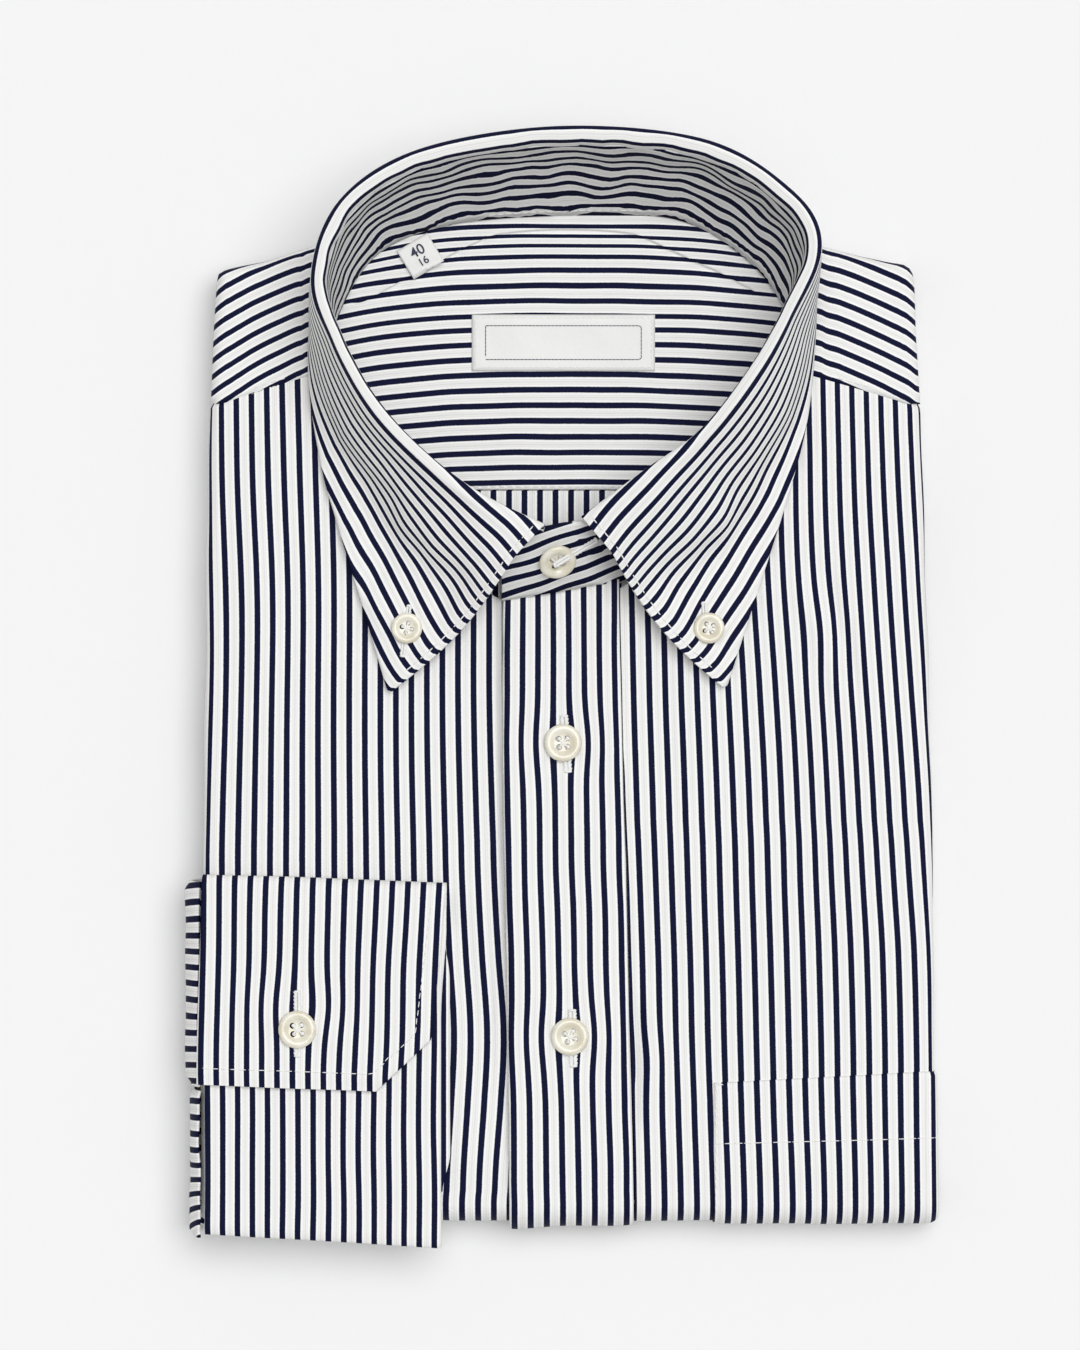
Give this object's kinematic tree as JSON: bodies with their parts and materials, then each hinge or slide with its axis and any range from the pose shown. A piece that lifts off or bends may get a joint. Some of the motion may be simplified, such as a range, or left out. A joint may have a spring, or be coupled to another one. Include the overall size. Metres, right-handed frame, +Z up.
{
  "type": "folded dress shirt",
  "caption": "Men's striped poplin dress shirt folded into a flat packet, standing button-down collar, one cuff laid over the lower front, chest pocket at the bottom edge.",
  "frame": {"origin": "on the surface that the packet lies on, under the middle of its bounding box", "axes": "+Y from the packet's bottom fold towards the collar, +Z up out of the shirt's front, +X towards the side with the pocket"},
  "size_m": [0.2311, 0.3384, 0.0593],
  "materials": {
    "striped_cloth": "white cotton poplin with fine navy stripes, matt with a faint sheen",
    "buttons": "cream pearl, polished",
    "labels": "plain woven satin, bare"
  },
  "bodies": {
    "root": {"hidden_layers": "striped_cloth", "right_front": "striped_cloth", "left_front": "striped_cloth", "placket": "striped_cloth", "pocket": "striped_cloth", "yoke_outer": "striped_cloth", "yoke_inner": "striped_cloth", "back_panel": "striped_cloth", "collar_stand": "striped_cloth", "collar_leaf": "striped_cloth", "cuff": "striped_cloth", "sleeve": "striped_cloth", "placket_button_1": "buttons", "placket_button_2": "buttons", "collar_stand_button": "buttons", "collar_point_button_left": "buttons", "collar_point_button_right": "buttons", "cuff_button": "buttons", "main_label": "labels", "size_tab": "labels"}
  },
  "joints": []
}
